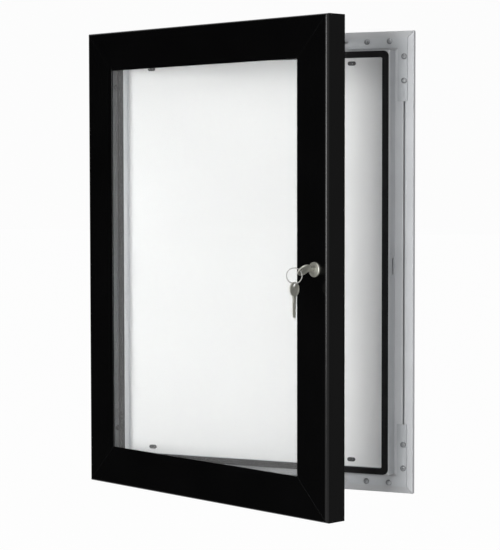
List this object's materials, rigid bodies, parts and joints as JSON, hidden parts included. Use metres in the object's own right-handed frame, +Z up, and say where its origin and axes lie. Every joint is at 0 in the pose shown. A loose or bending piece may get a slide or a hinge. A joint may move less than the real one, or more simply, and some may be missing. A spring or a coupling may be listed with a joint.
{
  "type": "lockable notice board",
  "caption": "Wall-mounted lockable notice case for one A2 sheet: silver case with a seal, hinged black door with a clear pane, key lock, keys on a ring.",
  "frame": {"origin": "On the wall face of the case's bottom rail, at the middle of the case's width and of that rail's height.", "axes": "+Z up, +X to the viewer's right, +Y into the wall, so the viewer stands at -Y. The door is stored 22.5 degrees open, as pictured."},
  "size_m": [0.5237, 0.2648, 0.696],
  "materials": {
    "case_aluminium": "satin anodised silver",
    "plated_steel": "zinc plated",
    "panel_white": "matt white foamed sheet",
    "bush_plastic": "moulded black",
    "seal_rubber": "smooth black",
    "door_black": "semi-gloss black powder coat",
    "pane_clear": "clear sheet",
    "lock_nickel": "polished nickel plate",
    "key_nickel": "nickel plated brass, worn"
  },
  "bodies": {
    "case": {"case_rail_top": "case_aluminium", "case_rail_bottom": "case_aluminium", "case_rail_hinge": "case_aluminium", "case_rail_lock": "case_aluminium", "corner_bracket_top_left": "case_aluminium", "corner_bracket_top_right": "case_aluminium", "corner_bracket_bottom_left": "case_aluminium", "corner_bracket_bottom_right": "case_aluminium", "backing_cleat_top_left": "plated_steel", "backing_cleat_top_right": "plated_steel", "backing_cleat_bottom_left": "plated_steel", "backing_cleat_bottom_right": "plated_steel", "bracket_screw_top_left_1": "plated_steel", "bracket_screw_top_left_2": "plated_steel", "bracket_screw_top_left_3": "plated_steel", "bracket_screw_top_left_4": "plated_steel", "bracket_screw_top_right_1": "plated_steel", "bracket_screw_top_right_2": "plated_steel", "bracket_screw_top_right_3": "plated_steel", "bracket_screw_top_right_4": "plated_steel", "bracket_screw_bottom_left_1": "plated_steel", "bracket_screw_bottom_left_2": "plated_steel", "bracket_screw_bottom_left_3": "plated_steel", "bracket_screw_bottom_left_4": "plated_steel", "bracket_screw_bottom_right_1": "plated_steel", "bracket_screw_bottom_right_2": "plated_steel", "bracket_screw_bottom_right_3": "plated_steel", "bracket_screw_bottom_right_4": "plated_steel", "back_panel": "panel_white", "fixing_bush_top_left": "bush_plastic", "fixing_bush_top_right": "bush_plastic", "fixing_bush_bottom_left": "bush_plastic", "fixing_bush_bottom_right": "bush_plastic", "seal": "seal_rubber", "hinge_leaf_case": "case_aluminium", "hinge_pin": "plated_steel"},
    "door": {"door_rail_top": "door_black", "door_rail_bottom": "door_black", "door_rail_hinge": "door_black", "door_rail_lock": "door_black", "door_cleat_top_left": "plated_steel", "door_cleat_top_right": "plated_steel", "door_cleat_bottom_left": "plated_steel", "door_cleat_bottom_right": "plated_steel", "pane": "pane_clear", "glazing_gasket": "seal_rubber", "hinge_leaf_door": "door_black", "lock_housing": "lock_nickel", "lock_nut": "plated_steel"},
    "lock_plug_and_cam": {"lock_plug": "lock_nickel", "lock_cam": "plated_steel", "cam_screw": "plated_steel"},
    "key_in_lock": {"key": "key_nickel"},
    "ring": {"key_ring": "key_nickel"},
    "spare": {"spare_key": "key_nickel"}
  },
  "joints": [
    {"name": "door_hinge", "type": "hinge", "parent": "case", "child": "door", "pos_m": [-0.2575, -0.00605, 0.3215], "axis": [0, 0, -1], "range_deg": [-22.5, 67.5]},
    {"name": "lock_turn", "type": "hinge", "parent": "door", "child": "lock_plug_and_cam", "pos_m": [0.18702, -0.22638, 0.3215], "axis": [-0.3827, -0.9239, 0], "range_deg": [-90, 0]},
    {"name": "key_withdrawal", "type": "slide", "parent": "lock_plug_and_cam", "child": "key_in_lock", "axis": [-0.3827, -0.9239, 0], "range_m": [0, 0.026]},
    {"name": "ring_swing", "type": "hinge", "parent": "key_in_lock", "child": "ring", "pos_m": [0.17669, -0.25133, 0.3215], "axis": [-0.6533, 0.2706, 0.7071], "range_deg": [-20, 35]},
    {"name": "spare_key_swing", "type": "hinge", "parent": "ring", "child": "spare", "pos_m": [0.16854, -0.25487, 0.30344], "axis": [0.9171, 0.3987, 0], "range_deg": [-35, 35]}
  ]
}
